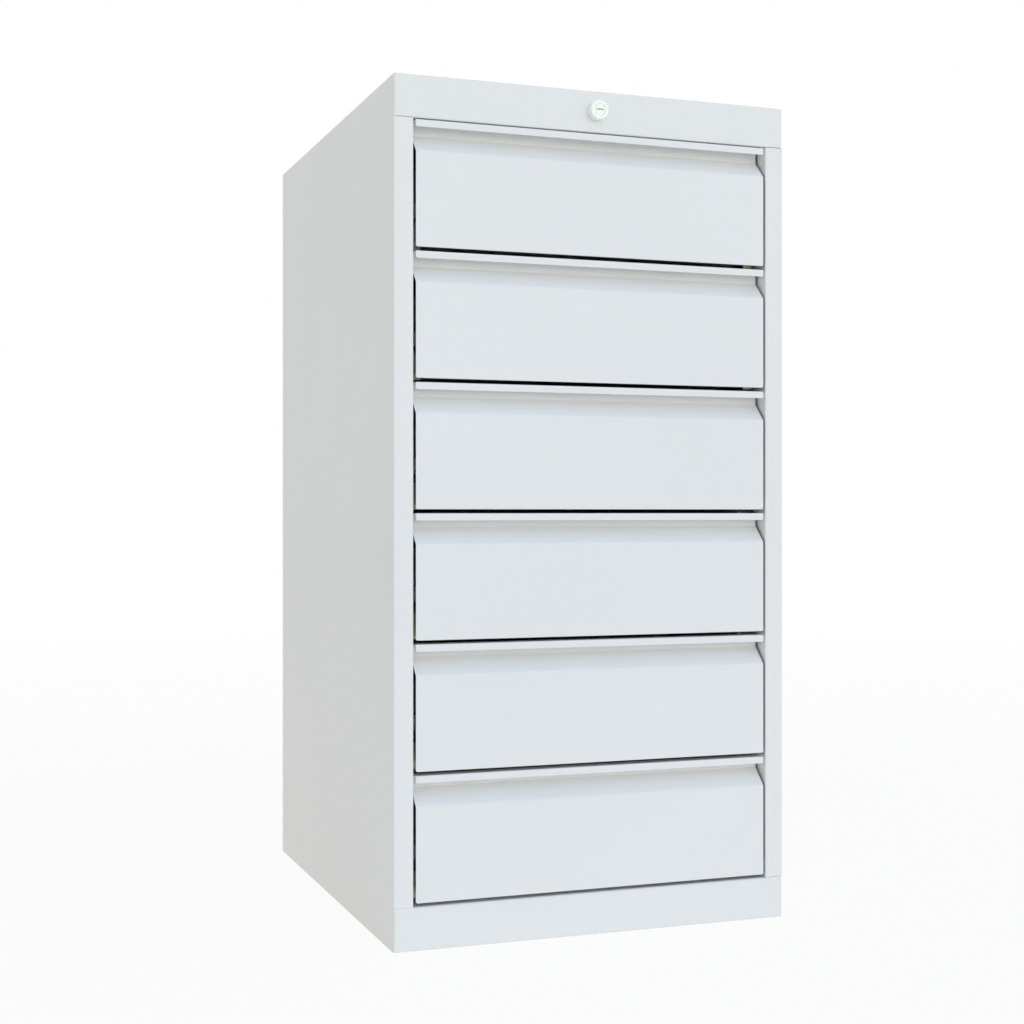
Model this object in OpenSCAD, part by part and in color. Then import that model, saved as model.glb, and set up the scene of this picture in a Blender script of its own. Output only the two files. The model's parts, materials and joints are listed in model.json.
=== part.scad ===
// Small metal drawer cabinet: folded sheet-steel case, drawers on three-member ball slides, central lock.
// Millimetres. X runs across the front, Y from the front to the back, Z up.
// The origin is on the floor, under the centre of the overall box (the lock's head included).

/* [Case] */
// Outside width
body_w = 499; // [400:1:700]
// Outside depth, from the front plane to the back flanges
body_d = 603; // [500:1:800]
// Height of the band under the drawers
plinth_h = 50; // [35:1:120]
// Height of the band over the drawers, which carries the lock
fascia_h = 49; // [45:1:80]
// Width of each front stile
stile_w = 23.5; // [22:0.5:40]
// Depth of the stile's inner return
stile_depth = 36; // [30:0.5:36]
// Width of the fold that closes the stile's return
stile_hem = 15; // [8:0.5:18]
// Thickness of the case's sheet
sheet_t = 1; // [0.8:0.1:1.5]
// Radius of the case's folds, on the middle of the sheet
bend_r = 1.5; // [0.8:0.1:2]
// Width of the flanges at the foot and the back
flange_w = 20; // [12:1:30]
// Open seam between the stiles and the two bands
seam = 0.5; // [0.2:0.1:1]

/* [Posts] */
// Distance from the front plane to the front posts
post_front_y = 66; // [60:1:120]
// Distance from the rear posts to the back plane
post_back_gap = 43; // [35:1:120]
// Width of a post across its face
post_w = 30; // [24:1:60]
// Width of each foot that is welded to the side panel
post_foot = 14; // [8:1:18]

/* [Drawers] */
// Number of drawers
drawer_count = 6; // [1:1:6]
// Height from one drawer to the next
drawer_pitch = 150; // [125:1:250]
// Gap between a front and the stiles
side_gap = 3; // [2:0.1:4]
// Gap under a front, inside its pitch
front_gap_below = 4; // [2:0.1:6]
// Gap over a front's lip, inside its pitch
front_gap_above = 0.5; // [0.3:0.1:2]
// Gap between the top drawer's place and the upper band
fascia_gap = 1; // [0.5:0.1:3]
// Thickness of the fronts' sheet
front_t = 1; // [0.8:0.1:1.5]
// Radius of the fronts' and the trays' folds, on the middle of the sheet
front_bend_r = 1; // [0.8:0.1:1.5]
// Height of the lip that the fingers hook behind
lip_h = 8; // [5:0.5:9]
// Depth of the finger recess
grip_depth = 20; // [14:0.5:21]
// Height of the finger recess, from the lip's top to the foot of its bevel
grip_h = 35; // [32:0.5:50]
// Slope of the bevel under the recess, measured from the upright
bevel_angle = 45; // [40:1:60]
// Radius of the fold at the foot of the bevel
bevel_r = 4; // [1:0.5:6]
// Radius of a front's lower corners
front_corner_r = 2; // [0.5:0.5:5]
// Radius of the lip's lower corners
lip_corner_r = 2; // [0.5:0.5:4]
// Height of the hem that is folded up behind a front's lower edge
hem_h = 5; // [3:0.5:8]

/* [Trays] */
// Thickness of the trays' sheet
tray_t = 0.8; // [0.6:0.1:1.2]
// Height from a tray's rim up to the foot of the bevel
tray_drop = 9.5; // [4:0.5:30]
// Distance from a tray's back wall to the case's back plane
tray_back_gap = 37; // [32:1:80]
// Width of the front flanges that are welded to the front
tray_flange = 12; // [6:0.5:16]

/* [Slides] */
// Distance from the front plane to the slides' front ends
slide_setback = 27.5; // [22.3:0.1:30]
// Distance from the stiles' returns in to the posts' faces, which carry the slides
slide_inset = 3.8; // [2:0.1:8]
// Distance from the slides' rear ends to the case's back plane
slide_back_gap = 30; // [15:1:60]
// Height of a slide's underside over its drawer's pitch line
slide_lift = 3.8; // [2:0.1:12]
// Height of a slide
slide_h = 31; // [30:0.5:38]
// Thickness of a slide, all three members together
slide_t = 12.7; // [12.7:0.1:14]
// Thickness of a member's sheet
member_t = 1.2; // [1:0.1:1.2]
// Diameter of a slide's balls
ball_d = 3; // [2.6:0.1:3]
// Balls in each row of a cage
ball_count = 4; // [2:1:6]
// Thickness of a ball cage
cage_t = 0.5; // [0.4:0.1:0.6]
// Part of the slide's length that stays engaged when a drawer is right out
slide_hold = 9; // [5:1:100]
// Diameter of the rivets that fix a slide to its posts
rivet_d = 4; // [3:0.1:5]
// Thickness of the rubber buffer at a slide's rear end
buffer_t = 3; // [2:0.5:6]

/* [Lock] */
// Height of the lock's axis under the top of the case
lock_drop = 24; // [20:0.5:28]
// Diameter of the lock's head
lock_head_d = 23; // [20:0.5:28]
// Distance that the head stands out of the front
lock_head_out = 12; // [6:0.5:14]
// Diameter of the lock's barrel
barrel_d = 18; // [16:0.5:18]
// Distance across the barrel's two flats
barrel_flats = 16; // [15.5:0.1:16]
// Length of the barrel behind the front plane
barrel_len = 30; // [26:0.5:30]
// Diameter of the plug that the key turns
plug_d = 14; // [12.5:0.5:14.5]
// Width of the keyway's lead-in, at the plug's face
lead_w = 11; // [8.5:0.5:11.5]
// Width of the keyway behind the lead-in
keyway_w = 8; // [6:0.1:8.4]
// Height of the keyway
keyway_h = 2.2; // [1.6:0.1:2.6]
// Wafers that block the plug without its key
wafer_count = 5; // [3:1:6]
// Thickness of a wafer
wafer_t = 1; // [0.8:0.1:1.2]
// Distance from one wafer to the next
wafer_pitch = 2.2; // [2:0.1:2.4]
// Distance from the lock's axis to the cam's pin
cam_reach = 16; // [14:0.5:20]
// Thickness of the cam
cam_t = 2; // [1.5:0.1:2.5]
// Diameter of the cam's pin and the locking bar's pin
pin_d = 6; // [4:0.5:6.5]
// Angle that the plug turns through
plug_turn = 90; // [60:5:90]

/* [Locking bars] */
// Travel of the locking bar, down to lock
bar_travel = 10; // [7:0.5:12]
// Thickness of the bars and the fingers
bar_t = 2; // [1.5:0.1:2.2]
// Width of the locking bar
bar_w = 14; // [10:0.5:14]
// Distance from the side panel to the locking bar
bar_gap = 5; // [4:0.5:6]
// Height of the transfer bar
transfer_h = 18; // [16.5:0.5:24]
// Length of the transfer bar on the far side of the lock
transfer_over = 80; // [40:1:100]
// Height of a tray's lock tab over its drawer's pitch line
tab_z = 45; // [42:1:50]
// Height of a lock tab
tab_h = 18; // [12:0.5:20]
// Distance that a lock tab stands out of its tray
tab_out = 10; // [8:0.1:10.5]
// Overlap of a finger and its tab, across
finger_catch = 6.5; // [4:0.5:7]
// Height of a finger
finger_h = 10; // [8:0.5:14]
// Height that a finger clears its tab when unlocked
finger_clear = 3; // [2:0.1:4]

/* [Clearances] */
// Clearance of sheets that only lie beside each other
fit = 0.2; // [0.1:0.05:0.4]
// Radial clearance of the plug in its barrel
plug_play = 0.05; // [0.03:0.01:0.1]
// Clearance of a ball on each of its tracks
ball_play = 0.03; // [0.02:0.01:0.06]
// Clearance of a pin in its slot
pin_play = 0.6; // [0.55:0.05:0.8]
// Clearance of a bar in its guides, and between the two bars
bar_play = 0.5; // [0.3:0.05:0.6]
// Free play of a locked drawer before its tab meets the finger
lock_play = 2; // [1:0.1:4]
// Clearance between a slide's moving member and the case
slide_play = 1; // [0.5:0.1:1.5]

/* [Hidden] */

$fn = 40;
bend_steps = 4;
over = 1;

body_colour = [0.86, 0.88, 0.90];
front_colour = [0.87, 0.90, 0.91];
tray_colour = [0.80, 0.81, 0.82];
zinc_colour = [0.62, 0.62, 0.50];
steel_colour = [0.70, 0.70, 0.72];
nickel_colour = [0.85, 0.87, 0.87];
brass_colour = [0.80, 0.72, 0.45];
rubber_colour = [0.12, 0.12, 0.12];
plastic_colour = [0.25, 0.26, 0.28];

// Case
half_w = body_w / 2;
half_t = sheet_t / 2;
open_half = half_w - stile_w;
front_y = -(body_d - lock_head_out) / 2;
fascia_z = plinth_h + drawer_count * drawer_pitch + fascia_gap;
body_h = fascia_z + fascia_h;
stile_z0 = plinth_h + seam;
stile_z1 = fascia_z - seam;
top_lap = 15;
back_gap = 1;

// Drawers, with z counted from each drawer's own pitch line
front_half = open_half - side_gap;
front_z0 = front_gap_below;
hem_r = 0.65;
hem_step = 2 * hem_r + 0.1;
hem_room = 1;
front_z1 = drawer_pitch - front_gap_above;
bevel_z = front_z1 - grip_h;
slide_x = open_half - slide_inset;
tray_half = slide_x - slide_t;
tray_z0 = front_z0 + hem_h + hem_room;
tray_z1 = bevel_z - tray_drop;
tray_y1 = body_d - tray_back_gap;
hook_len = 8;
hook_h = 6;

// Slides: s is counted from the posts' face towards the tray
slide_zc = slide_lift + slide_h / 2;
plate_t = member_t;
slide_y0 = slide_setback + plate_t;
slide_y1 = body_d - slide_back_gap;
travel = slide_y1 - slide_y0 - slide_hold;
track = ball_d + 2 * ball_play;
outer_zh = slide_h / 2;
middle_zh = outer_zh - member_t - track;
inner_zh = middle_zh - member_t - track;
web_gap = 0.5;
lip_gap = 0.3;
fold_share = 0.75;
cage_room = 1.2;
member_lip = 1.8;
inner_lip = 1.4;
middle_s = 2 * member_t + cage_room - member_t / 2;
inner_lip_s = middle_s + member_t + cage_room;
outer_cage_s = member_t + cage_room / 2;
inner_cage_s = middle_s + member_t / 2 + cage_room / 2;
middle_end_s = slide_t - member_t - web_gap;
outer_end_s = middle_end_s - member_t - lip_gap;
outer_ball_s = (outer_cage_s + outer_end_s - member_t / 2) / 2;
inner_ball_s = (inner_lip_s + middle_end_s) / 2 - fit;
outer_ball_z = middle_zh + track / 2;
inner_ball_z = inner_zh + track / 2;
cage_margin = 3;
cage_y0 = slide_y0 + travel / 4 + cage_margin;
cage_y1 = slide_y1 - travel / 4 - cage_margin;
ball_inset = 10;
pocket_play = 0.1;
rivet_play = 0.05;
rivet_head_t = 1.5;
rivet_head_d = 8;
buffer_play = 0.5;
buffer_gap = 0.5;
rivet_ys = [post_front_y + post_w / 2, body_d - post_back_gap - post_w / 2];

// Lock, on its axis with z towards the front
lock_z = body_h - lock_drop;
head_edge_r = 2;
plug_sink = 0.6;
keyway_depth = 20;
lead_depth = 0.8;
wafer_w = 9;
wafer_h = 10.4;
wafer_z1 = 10;
window_w = 6.8;
window_h = 2;
window_shift = 1.1;
nut_t = 4;
nut_flats = 22;
cam_gap = 0.5;
cam_width = 11;
hub_wall = 5;
tang = 8;
tang_play = 0.1;
wafer_zs = [for (i = [0:wafer_count - 1]) wafer_z1 - wafer_t - i * wafer_pitch];
cam_z1 = -(barrel_len + cam_gap);
cam_z0 = cam_z1 - cam_t;
screw_d = 4;
screw_head_d = 9;
screw_head_t = 3;
screw_slot_w = 1;
screw_gap = 1;
screw_len = 12;

// Bars: transfer bar behind the cam, locking bar behind the transfer bar, fingers lapped on its back
transfer_y0 = barrel_len + cam_gap + cam_t + screw_head_t + screw_gap;
locking_y0 = transfer_y0 + bar_t + bar_play;
finger_y0 = locking_y0 + bar_t;
tab_y = finger_y0 + bar_t + lock_play;
tab_t = 1.5;
finger_inset = 2;
pin_proud = 1;
locking_x0 = -half_w + sheet_t + bar_gap;
locking_x1 = locking_x0 + bar_w;
finger_x1 = -tray_half - tab_out + finger_catch;
link_margin = 5;
transfer_travel = 2 * cam_reach * sin(plug_turn / 2);
link_x = locking_x0 + transfer_travel + pin_d + link_margin;
transfer_z = lock_z - cam_reach * (1 + cos(plug_turn / 2)) / 2;
link_z = transfer_z + bar_travel / 2;
link_plate_h = bar_travel + pin_d + 2 * link_margin;
tab_top = tab_z + tab_h;
finger_z = tab_top + finger_clear;
guide_wall = 2;
guide_h = 12;
guide_rise = 104;
hanger_w = 12;
hanger_xs = [-transfer_over, transfer_over - hanger_w];

function drawer_z(n) = plinth_h + (drawer_count - n) * drawer_pitch;
function unit(v) = v / norm(v);
function left_of(v) = [-v.y, v.x];
function turned(v, a) = [v.x * cos(a) - v.y * sin(a), v.x * sin(a) + v.y * cos(a)];

// Points along one fold of a sheet's middle line, each with the normal to its left
function fold(a, b, c, r) =
    let (u = unit(b - a), w = unit(c - b), angle = atan2(cross(u, w), u * w),
         start = b - u * r * tan(abs(angle) / 2),
         centre = start + left_of(u) * r * sign(angle))
    [for (i = [0:bend_steps])
        let (n = turned(left_of(u), angle * i / bend_steps)) [centre - n * r * sign(angle), n]];

// The whole middle line; radii holds one radius for every fold, or one number for all
function middle_line(path, radii) =
    let (last = len(path) - 1)
    concat([[path[0], left_of(unit(path[1] - path[0]))]],
        [for (i = [1:1:last - 1])
            each fold(path[i - 1], path[i], path[i + 1], is_list(radii) ? radii[i - 1] : radii)],
        [[path[last], left_of(unit(path[last] - path[last - 1]))]]);

// Section of a folded sheet of thickness t
module sheet(path, t, radii) {
    line = middle_line(path, radii);
    polygon(concat([for (q = line) q[0] + q[1] * t / 2],
                   [for (i = [len(line) - 1:-1:0]) line[i][0] - line[i][1] * t / 2]));
}

// Rectangle whose lower corners are rounded with radius r
module rounded_foot(x1, z0, z1, r) {
    polygon(concat([[x1, z1], [-x1, z1]],
        [for (i = [0:bend_steps]) let (a = 180 + 90 * i / bend_steps)
            [-x1 + r + r * cos(a), z0 + r + r * sin(a)]],
        [for (i = [0:bend_steps]) let (a = 270 + 90 * i / bend_steps)
            [x1 - r + r * cos(a), z0 + r + r * sin(a)]]));
}

// What rounding a lower left corner at the origin takes away
module corner_waste(r) {
    difference() {
        translate([-over, -over]) square(r + over);
        translate([r, r]) circle(r);
    }
}

// Flat slot with round ends from p to q
module slot(p, q, d) {
    length = norm(q - p);
    translate(p) circle(d = d);
    translate(q) circle(d = d);
    translate(p) rotate(atan2(q.y - p.y, q.x - p.x)) translate([0, -d / 2]) square([length, d]);
}

module plate(x0, x1, y0, y1, z0, z1) {
    translate([x0, y0, z0]) cube([x1 - x0, y1 - y0, z1 - z0]);
}

// Sections drawn in Y and Z, X and Z, or X and Y, and carried along the third axis
module along_x(x0, x1) {
    translate([x0, 0, 0]) rotate([90, 0, 90]) linear_extrude(x1 - x0) children();
}
module along_y(y0, y1) {
    translate([0, y1, 0]) rotate([90, 0, 0]) linear_extrude(y1 - y0) children();
}
module along_z(z0, z1) {
    translate([0, 0, z0]) linear_extrude(z1 - z0) children();
}

// Places: the front plane is y = 0, everything is drawn for the left-hand side
module from_front() {
    translate([0, front_y, 0]) children();
}
module at_side(s) {
    if (s > 0) mirror([1, 0, 0]) children();
    else children();
}
module at_drawer(n) {
    from_front() translate([0, 0, drawer_z(n)]) children();
}
module on_lock_axis() {
    from_front() translate([0, 0, lock_z]) rotate([90, 0, 0]) children();
}

module side_panel(s) {
    color(body_colour) from_front() at_side(s) {
        along_z(stile_z0, stile_z1)
            sheet([[-half_w + sheet_t + stile_w - stile_hem, stile_depth - half_t],
                   [-open_half - half_t, stile_depth - half_t], [-open_half - half_t, half_t],
                   [-half_w + half_t, half_t], [-half_w + half_t, body_d - half_t],
                   [-half_w + flange_w, body_d - half_t]], sheet_t, bend_r);
        // Plain stretches behind the two bands
        for (z = [[0, stile_z0], [stile_z1, body_h - sheet_t]])
            plate(-half_w, -half_w + sheet_t, sheet_t, body_d - sheet_t, z[0], z[1]);
        // Foot flange
        plate(-half_w, -half_w + flange_w, flange_w + over, body_d - flange_w - over, 0, sheet_t);
    }
}

// Room for the side panels' sheet in a panel that lies between or over them
module side_relief(z0, z1) {
    for (s = [-1, 1]) at_side(s)
        plate(-half_w - over, -half_w + sheet_t + fit, sheet_t, body_d - sheet_t, z0, z1);
}

module top_panel() {
    color(body_colour) from_front() difference() {
        union() {
            difference() {
                along_x(-half_w, half_w)
                    sheet([[flange_w, fascia_z + half_t], [half_t, fascia_z + half_t],
                           [half_t, body_h - half_t], [body_d - half_t, body_h - half_t],
                           [body_d - half_t, fascia_z + half_t]], sheet_t, bend_r);
                side_relief(fascia_z - over, body_h - sheet_t);
            }
            // Laps that are welded inside the side panels
            for (s = [-1, 1]) at_side(s)
                plate(-half_w + sheet_t, -half_w + 2 * sheet_t, flange_w + over, body_d - flange_w,
                      body_h - sheet_t - top_lap, body_h - half_t);
        }
        // Hole with two flats, which keep the barrel from turning
        translate([0, sheet_t + over, lock_z]) rotate([90, 0, 0])
            linear_extrude(sheet_t + 2 * over) barrel_section(fit);
    }
}

module base_panel() {
    color(body_colour) from_front() difference() {
        along_x(-half_w, half_w)
            sheet([[flange_w, half_t], [half_t, half_t], [half_t, plinth_h - half_t],
                   [body_d - half_t, plinth_h - half_t], [body_d - half_t, half_t],
                   [body_d - flange_w, half_t]], sheet_t, bend_r);
        side_relief(-over, plinth_h + over);
    }
}

module back_panel() {
    edge = half_w - sheet_t - back_gap;
    color(body_colour) from_front()
        plate(-edge, edge, body_d - 2 * sheet_t, body_d - sheet_t, plinth_h,
              body_h - sheet_t - back_gap);
}

// Hat-section upright, welded to the side panel; its crown carries the slides
module slide_post(s, y0) {
    foot_x = -half_w + sheet_t + half_t;
    crown_x = -slide_x - half_t;
    color(tray_colour) from_front() at_side(s) difference() {
        along_z(plinth_h, fascia_z)
            sheet([[foot_x, y0 - post_foot], [foot_x, y0 + half_t], [crown_x, y0 + half_t],
                   [crown_x, y0 + post_w - half_t], [foot_x, y0 + post_w - half_t],
                   [foot_x, y0 + post_w + post_foot]], sheet_t, bend_r);
        for (n = [1:drawer_count])
            translate([crown_x - over, y0 + post_w / 2, drawer_z(n) + slide_zc]) rotate([0, 90, 0])
                cylinder(d = rivet_d + 2 * rivet_play, h = 2 * over);
    }
}

// A slide member's section, opening away from its web; lips turn towards the balls
module member(web_s, end_s, zh, lip) {
    z = zh - member_t / 2;
    sheet([[end_s, z + lip], [end_s, z], [web_s, z], [web_s, -z], [end_s, -z], [end_s, -z - lip]],
          member_t, member_t * fold_share);
}

module on_slide(s) {
    at_side(s) translate([-slide_x, 0, slide_zc]) children();
}

module slide_outer(s) {
    color(zinc_colour) for (n = [1:drawer_count]) at_drawer(n) on_slide(s) difference() {
        along_y(slide_y0, slide_y1 + buffer_t + over)
            member(member_t / 2, outer_end_s, outer_zh, -member_lip);
        for (y = rivet_ys)
            translate([-over, y, 0]) rotate([0, 90, 0])
                cylinder(d = rivet_d + 2 * rivet_play, h = member_t + 2 * over);
    }
}

module slide_middle(n) {
    color(zinc_colour) at_drawer(n) for (s = [-1, 1]) on_slide(s)
        along_y(slide_y0, slide_y1) member(middle_s, middle_end_s, middle_zh, -member_lip);
}

module slide_inner(n) {
    web_s = slide_t - member_t / 2;
    color(zinc_colour) at_drawer(n) for (s = [-1, 1]) on_slide(s) {
        along_y(slide_setback, slide_y1) member(web_s, inner_lip_s, inner_zh, inner_lip);
        // Plate that closes the front end
        plate(slide_play, slide_t, slide_setback, slide_y0 - fit, -outer_zh, outer_zh);
        // Hooks that stand in the tray's slots
        for (y = rivet_ys)
            plate(slide_t, slide_t + tray_t, y - hook_len / 2, y + hook_len / 2, -hook_h / 2, hook_h / 2);
    }
}

function ball_ys() =
    [for (i = [0:ball_count - 1])
        cage_y0 + ball_inset + i * (cage_y1 - cage_y0 - 2 * ball_inset) / (ball_count - 1)];

// Bent strip with one row of balls above and one below
module ball_cage(n, web_s, ball_s, ball_z) {
    tip_s = ball_s + ball_d / 2 + cage_t;
    color(steel_colour) at_drawer(n) for (s = [-1, 1]) on_slide(s) {
        difference() {
            along_y(cage_y0, cage_y1)
                sheet([[tip_s, ball_z], [web_s, ball_z], [web_s, -ball_z], [tip_s, -ball_z]],
                      cage_t, cage_t);
            for (y = ball_ys(), z = [-ball_z, ball_z])
                translate([ball_s, y, z - over])
                    cylinder(d = ball_d + 2 * pocket_play, h = 2 * over);
        }
        for (y = ball_ys(), z = [-ball_z, ball_z]) translate([ball_s, y, z]) sphere(d = ball_d);
    }
}

// Rivets with one flush end in the slide and a head behind the post
module slide_rivets() {
    color(steel_colour) for (n = [1:drawer_count], s = [-1, 1], y = rivet_ys)
        at_drawer(n) on_slide(s) translate([0, y, 0]) rotate([0, 90, 0]) {
            translate([0, 0, -sheet_t]) cylinder(d = rivet_d, h = sheet_t + member_t);
            translate([0, 0, -sheet_t - rivet_head_t])
                cylinder(d = rivet_head_d, h = rivet_head_t);
        }
}

module slide_buffers() {
    zh = outer_zh - member_t / 2 - member_lip - buffer_play;
    color(rubber_colour) for (n = [1:drawer_count], s = [-1, 1])
        at_drawer(n) on_slide(s)
            plate(member_t, outer_end_s, slide_y1 + buffer_gap, slide_y1 + buffer_t, -zh, zh);
}

// One folded sheet: hem, face, bevel, recess wall, top flange and lip
module drawer_front(n) {
    h = front_t / 2;
    foot = bevel_z + h * tan(bevel_angle / 2);
    rise = grip_depth / tan(bevel_angle);
    color(front_colour) at_drawer(n) intersection() {
        difference() {
            along_x(-front_half, front_half)
                sheet([[h + hem_step, front_z0 + hem_h], [h + hem_step, front_z0 + h],
                       [h, front_z0 + h], [h, foot],
                       [grip_depth + h, foot + rise], [grip_depth + h, front_z1 - h],
                       [h, front_z1 - h], [h, front_z1 - lip_h]],
                      front_t, [hem_r, hem_r, bevel_r, bevel_r / 2, front_bend_r, front_bend_r]);
            for (s = [-1, 1]) at_side(s)
                along_y(-over, front_t + fit) translate([-front_half, front_z1 - lip_h])
                    corner_waste(lip_corner_r);
        }
        along_y(-over, grip_depth + front_t + over)
            rounded_foot(front_half, front_z0, front_z1, front_corner_r);
    }
}

module drawer_tray(n) {
    h = tray_t / 2;
    color(tray_colour) at_drawer(n) difference() {
        union() {
            along_y(front_t, tray_y1)
                sheet([[-tray_half + h, tray_z1], [-tray_half + h, tray_z0 + h],
                       [tray_half - h, tray_z0 + h], [tray_half - h, tray_z1]],
                      tray_t, front_bend_r);
            plate(-tray_half + h, tray_half - h, tray_y1 - tray_t, tray_y1, tray_z0 + h, tray_z1);
            for (s = [-1, 1]) at_side(s)
                plate(-tray_half + h, -tray_half + tray_flange, front_t, front_t + tray_t,
                      tray_z0 + h, tray_z1);
            // Tab that the locking finger catches
            plate(-tray_half - tab_out, -tray_half + h, tab_y, tab_y + tab_t, tab_z, tab_top);
        }
        // Window that the tab is pressed out of
        plate(-tray_half - h, -tray_half + tray_t + over, tab_y + tab_t, tab_y + tab_t + tab_out,
              tab_z, tab_top);
        // Slots for the slides' hooks
        for (s = [-1, 1], y = rivet_ys) at_side(s)
            plate(-tray_half - over, -tray_half + tray_t + over, y - hook_len / 2 - fit,
                  y + hook_len / 2 + fit, slide_zc - hook_h / 2 - fit, slide_zc + hook_h / 2 + fit);
    }
}

// Section of the lock's barrel, grown by a clearance
module barrel_section(play) {
    intersection() {
        circle(d = barrel_d + 2 * play);
        square([barrel_d + over, barrel_flats + 2 * play], center = true);
    }
}

module lock_barrel() {
    r = lock_head_d / 2;
    color(nickel_colour) on_lock_axis() difference() {
        union() {
            rotate_extrude() polygon(concat([[0, 0], [r, 0]],
                [for (i = [0:bend_steps]) let (a = 90 * i / bend_steps)
                    [r - head_edge_r + head_edge_r * cos(a),
                     lock_head_out - head_edge_r + head_edge_r * sin(a)]],
                [[0, lock_head_out]]));
            translate([0, 0, -barrel_len]) linear_extrude(barrel_len + over) barrel_section(0);
        }
        translate([0, 0, -barrel_len - over])
            cylinder(d = plug_d + 2 * plug_play, h = barrel_len + lock_head_out + 2 * over);
    }
}

module lock_nut() {
    color(steel_colour) on_lock_axis() translate([0, 0, -sheet_t - nut_t]) difference() {
        cylinder(d = nut_flats / cos(30), h = nut_t, $fn = 6);
        translate([0, 0, -over]) cylinder(d = barrel_d + fit, h = nut_t + 2 * over);
    }
}

module lock_plug() {
    color(nickel_colour) on_lock_axis() difference() {
        union() {
            translate([0, 0, -barrel_len])
                cylinder(d = plug_d, h = barrel_len + lock_head_out - plug_sink);
            translate([-tang / 2, -tang / 2, cam_z0])
                cube([tang, tang, cam_gap + cam_t + over]);
        }
        translate([-lead_w / 2, -keyway_h / 2, lock_head_out - plug_sink - lead_depth])
            cube([lead_w, keyway_h, lead_depth + over]);
        translate([-keyway_w / 2, -keyway_h / 2, lock_head_out - keyway_depth])
            cube([keyway_w, keyway_h, keyway_depth]);
        for (z = wafer_zs)
            translate([-wafer_w / 2 - fit, -plug_d, z - fit])
                cube([wafer_w + 2 * fit, 2 * plug_d, wafer_t + 2 * fit]);
        translate([0, 0, cam_z0 - over])
            cylinder(d = screw_d + fit, h = screw_len + over);
    }
}

// Wafers, drawn into the plug; their windows stand up and down in turn, so that brass fills the keyway
module lock_wafers() {
    color(brass_colour) on_lock_axis() for (i = [0:wafer_count - 1])
        translate([0, 0, wafer_zs[i]]) linear_extrude(wafer_t) difference() {
            square([wafer_w, wafer_h], center = true);
            translate([0, i % 2 == 0 ? window_shift : -window_shift])
                square([window_w, window_h], center = true);
        }
}

// Cam with its pin; at rest it points down to the left, and it turns to the same place on the right
module lock_cam() {
    aim = 270 - plug_turn / 2;
    pin_z0 = -transfer_y0 - bar_t - bar_play / 2;
    color(steel_colour) on_lock_axis() rotate(aim) {
        translate([0, 0, cam_z0]) linear_extrude(cam_t) difference() {
            union() {
                circle(d = tang + 2 * hub_wall);
                slot([0, 0], [cam_reach, 0], cam_width);
            }
            rotate(-aim) square(tang + 2 * tang_play, center = true);
        }
        translate([cam_reach, 0, pin_z0]) cylinder(d = pin_d, h = cam_z0 + cam_t / 2 - pin_z0);
    }
}

module cam_screw() {
    color(steel_colour) on_lock_axis() {
        translate([0, 0, cam_z0]) cylinder(d = screw_d, h = screw_len - over);
        translate([0, 0, cam_z0 - screw_head_t]) difference() {
            cylinder(d = screw_head_d, h = screw_head_t);
            translate([-screw_head_d, -screw_slot_w / 2, -over])
                cube([2 * screw_head_d, screw_slot_w, 2 * over]);
        }
    }
}

// Bar behind the cam: the cam's pin drives its upright slot, its sloping slot drives the locking bar
module transfer_bar() {
    slot_d = pin_d + 2 * pin_play;
    cam_x = -cam_reach * sin(plug_turn / 2);
    link_d = pin_d + bar_play;
    color(steel_colour) from_front() along_y(transfer_y0, transfer_y0 + bar_t) difference() {
        union() {
            translate([link_x - transfer_travel - link_margin, transfer_z - transfer_h / 2])
                square([transfer_over - link_x + transfer_travel + link_margin, transfer_h]);
            translate([link_x - transfer_travel - pin_d, transfer_z - link_plate_h / 2])
                square([transfer_travel + 2 * pin_d, link_plate_h]);
        }
        slot([cam_x, lock_z - cam_reach], [cam_x, lock_z - cam_reach * cos(plug_turn / 2)], slot_d);
        slot([link_x, link_z], [link_x - transfer_travel, link_z - bar_travel], link_d);
    }
}

module locking_bar() {
    foot_z = drawer_z(drawer_count) + tab_z - bar_travel;
    color(steel_colour) from_front() {
        along_y(locking_y0, locking_y0 + bar_t) {
            translate([locking_x0, foot_z]) square([bar_w, link_z - foot_z + pin_d]);
            translate([locking_x0, link_z - pin_d - link_margin / 2])
                square([link_x - locking_x0 + pin_d, 2 * pin_d + link_margin / 2]);
        }
        // Pin that follows the transfer bar's sloping slot
        translate([link_x, locking_y0 + bar_t / 2, link_z]) rotate([90, 0, 0])
            cylinder(d = pin_d, h = bar_t / 2 + bar_play + bar_t + pin_proud);
    }
}

module locking_fingers() {
    color(steel_colour) from_front() for (n = [1:drawer_count])
        plate(locking_x0 + finger_inset, finger_x1, finger_y0, finger_y0 + bar_t,
              drawer_z(n) + finger_z, drawer_z(n) + finger_z + finger_h);
}

// Guides: clips on the side panel for the locking bar, hangers under the top for the transfer bar
module bar_guides() {
    room = bar_play / 2;
    clip_y0 = locking_y0 - room - guide_wall / 2;
    clip_y1 = locking_y0 + bar_t + room + guide_wall;
    hanger_y0 = transfer_y0 - room - guide_wall / 2;
    hanger_y1 = transfer_y0 + bar_t + room + guide_wall;
    color(plastic_colour) from_front() {
        for (n = [drawer_count:-2:1]) let (z = drawer_z(n) + guide_rise) difference() {
            plate(-half_w + sheet_t, locking_x1 + guide_wall + room, clip_y0, clip_y1, z, z + guide_h);
            plate(locking_x0 - room, locking_x1 + room, locking_y0 - room, locking_y0 + bar_t + room,
                  z - over, z + guide_h + over);
        }
        for (x = hanger_xs) difference() {
            plate(x, x + hanger_w, hanger_y0, hanger_y1,
                  transfer_z - transfer_h / 2 - room - guide_wall, body_h - sheet_t);
            plate(x - over, x + hanger_w + over, transfer_y0 - room, transfer_y0 + bar_t + room,
                  transfer_z - transfer_h / 2 - room, transfer_z + transfer_h / 2 + room);
        }
    }
}

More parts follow.
